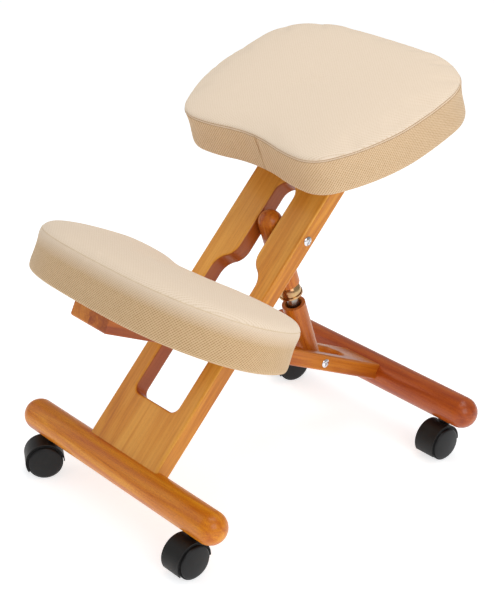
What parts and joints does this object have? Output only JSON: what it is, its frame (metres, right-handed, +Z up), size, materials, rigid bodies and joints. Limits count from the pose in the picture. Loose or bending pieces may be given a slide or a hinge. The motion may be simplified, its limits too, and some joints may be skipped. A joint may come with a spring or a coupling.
{
  "type": "kneeling chair",
  "caption": "Adjustable kneeling chair: crossed lacquered wooden boards, screw strut with hand collar, beige fabric seat and knee pad, round foot bars on black twin-wheel casters.",
  "frame": {"origin": "on the floor, under the middle of the chair's length and width", "axes": "+X across the chair, +Y from the knee pad towards the seat, +Z up"},
  "size_m": [0.46, 0.5943, 0.6348],
  "materials": {
    "lacquered_wood": "clear satin to gloss lacquer over honey-stained wood",
    "plywood": "raw plywood",
    "beige_fabric": "woven polyester cover",
    "bright_steel": "turned steel",
    "chrome_screws": "polished chrome plating",
    "zinc_plating": "yellow zinc plating",
    "bronze_bush": "sintered bronze",
    "nylon": "moulded nylon",
    "caster_plastic": "moulded nylon, fine satin"
  },
  "bodies": {
    "main_frame": {"front_foot_bar": "lacquered_wood", "main_board": "lacquered_wood", "main_board_dowels": "lacquered_wood", "pivot_sleeve": "bright_steel", "pivot_screws": "chrome_screws", "pivot_spacers": "nylon", "strut_top_sleeve": "bright_steel", "strut_top_screws": "chrome_screws", "seat_cushion": "beige_fabric", "seat_base_board": "plywood", "seat_cleat": "lacquered_wood", "seat_screws": "zinc_plating", "caster_socket_front_right": "bright_steel", "caster_socket_front_left": "bright_steel"},
    "cross_frame": {"rear_foot_bar": "lacquered_wood", "cross_board": "lacquered_wood", "cross_board_dowels": "lacquered_wood", "knee_cushion": "beige_fabric", "knee_base_board": "plywood", "knee_bolts": "bright_steel", "knee_tee_nuts": "bright_steel", "strut_foot_sleeve": "bright_steel", "strut_foot_screws": "chrome_screws", "caster_socket_rear_right": "bright_steel", "caster_socket_rear_left": "bright_steel"},
    "strut_upper": {"strut_head": "lacquered_wood", "strut_head_bush": "bronze_bush", "thrust_washer": "zinc_plating"},
    "adjuster": {"adjuster_spindle": "bright_steel", "adjuster_hand_collar": "zinc_plating", "spindle_retaining_ring": "bright_steel"},
    "strut_lower": {"strut_tube": "lacquered_wood", "strut_tube_nut": "bright_steel"},
    "caster_front_right": {"caster_stem_front_right": "bright_steel", "caster_hood_front_right": "caster_plastic", "caster_axle_front_right": "bright_steel"},
    "wheel_a_front_right": {"caster_wheel_a_front_right": "caster_plastic"},
    "wheel_b_front_right": {"caster_wheel_b_front_right": "caster_plastic"},
    "caster_front_left": {"caster_stem_front_left": "bright_steel", "caster_hood_front_left": "caster_plastic", "caster_axle_front_left": "bright_steel"},
    "wheel_a_front_left": {"caster_wheel_a_front_left": "caster_plastic"},
    "wheel_b_front_left": {"caster_wheel_b_front_left": "caster_plastic"},
    "caster_rear_right": {"caster_stem_rear_right": "bright_steel", "caster_hood_rear_right": "caster_plastic", "caster_axle_rear_right": "bright_steel"},
    "wheel_a_rear_right": {"caster_wheel_a_rear_right": "caster_plastic"},
    "wheel_b_rear_right": {"caster_wheel_b_rear_right": "caster_plastic"},
    "caster_rear_left": {"caster_stem_rear_left": "bright_steel", "caster_hood_rear_left": "caster_plastic", "caster_axle_rear_left": "bright_steel"},
    "wheel_a_rear_left": {"caster_wheel_a_rear_left": "caster_plastic"},
    "wheel_b_rear_left": {"caster_wheel_b_rear_left": "caster_plastic"}
  },
  "joints": [
    {"name": "frame_fold", "type": "hinge", "parent": "main_frame", "child": "cross_frame", "pos_m": [0, -0.08075, 0.25031], "axis": [-1, 0, 0], "range_deg": [-3, 10]},
    {"name": "strut_top_pivot", "type": "hinge", "parent": "main_frame", "child": "strut_upper", "pos_m": [0, 0.05084, 0.39094], "axis": [-1, 0, 0], "range_deg": [-1.92, 6.37]},
    {"name": "strut_foot_pivot", "type": "hinge", "parent": "cross_frame", "child": "strut_lower", "pos_m": [0, 0.13275, 0.14985], "axis": [-1, 0, 0], "range_deg": [-3.67, 1.12]},
    {"name": "collar_turn", "type": "hinge", "parent": "strut_upper", "child": "adjuster", "pos_m": [0, 0.08655, 0.28584], "axis": [0, -0.3217, 0.9469], "continuous": true},
    {"name": "swivel_front_right", "type": "hinge", "parent": "main_frame", "child": "caster_front_right", "pos_m": [0.1715, -0.23545, 0.06], "axis": [0, 0, 1], "continuous": true},
    {"name": "roll_a_front_right", "type": "hinge", "parent": "caster_front_right", "child": "wheel_a_front_right", "pos_m": [0.1715, -0.25145, 0.0275], "axis": [1, 0, 0], "continuous": true},
    {"name": "roll_b_front_right", "type": "hinge", "parent": "caster_front_right", "child": "wheel_b_front_right", "pos_m": [0.1715, -0.25145, 0.0275], "axis": [1, 0, 0], "continuous": true},
    {"name": "swivel_front_left", "type": "hinge", "parent": "main_frame", "child": "caster_front_left", "pos_m": [-0.1715, -0.23545, 0.06], "axis": [0, 0, 1], "continuous": true},
    {"name": "roll_a_front_left", "type": "hinge", "parent": "caster_front_left", "child": "wheel_a_front_left", "pos_m": [-0.1795, -0.2493, 0.0275], "axis": [0.866, -0.5, 0], "continuous": true},
    {"name": "roll_b_front_left", "type": "hinge", "parent": "caster_front_left", "child": "wheel_b_front_left", "pos_m": [-0.1795, -0.2493, 0.0275], "axis": [0.866, -0.5, 0], "continuous": true},
    {"name": "swivel_rear_right", "type": "hinge", "parent": "cross_frame", "child": "caster_rear_right", "pos_m": [0.1715, 0.27055, 0.06], "axis": [0, 0, 1], "continuous": true},
    {"name": "roll_a_rear_right", "type": "hinge", "parent": "caster_rear_right", "child": "wheel_a_rear_right", "pos_m": [0.1715, 0.25455, 0.0275], "axis": [1, 0, 0], "continuous": true},
    {"name": "roll_b_rear_right", "type": "hinge", "parent": "caster_rear_right", "child": "wheel_b_rear_right", "pos_m": [0.1715, 0.25455, 0.0275], "axis": [1, 0, 0], "continuous": true},
    {"name": "swivel_rear_left", "type": "hinge", "parent": "cross_frame", "child": "caster_rear_left", "pos_m": [-0.1715, 0.27055, 0.06], "axis": [0, 0, 1], "continuous": true},
    {"name": "roll_a_rear_left", "type": "hinge", "parent": "caster_rear_left", "child": "wheel_a_rear_left", "pos_m": [-0.17537, 0.25503, 0.0275], "axis": [0.9703, -0.2419, 0], "continuous": true},
    {"name": "roll_b_rear_left", "type": "hinge", "parent": "caster_rear_left", "child": "wheel_b_rear_left", "pos_m": [-0.17537, 0.25503, 0.0275], "axis": [0.9703, -0.2419, 0], "continuous": true}
  ],
  "couplings": [
    {"joint": "strut_top_pivot", "follows": "frame_fold", "ratio": 0.6345},
    {"joint": "strut_foot_pivot", "follows": "frame_fold", "ratio": -0.3655}
  ]
}
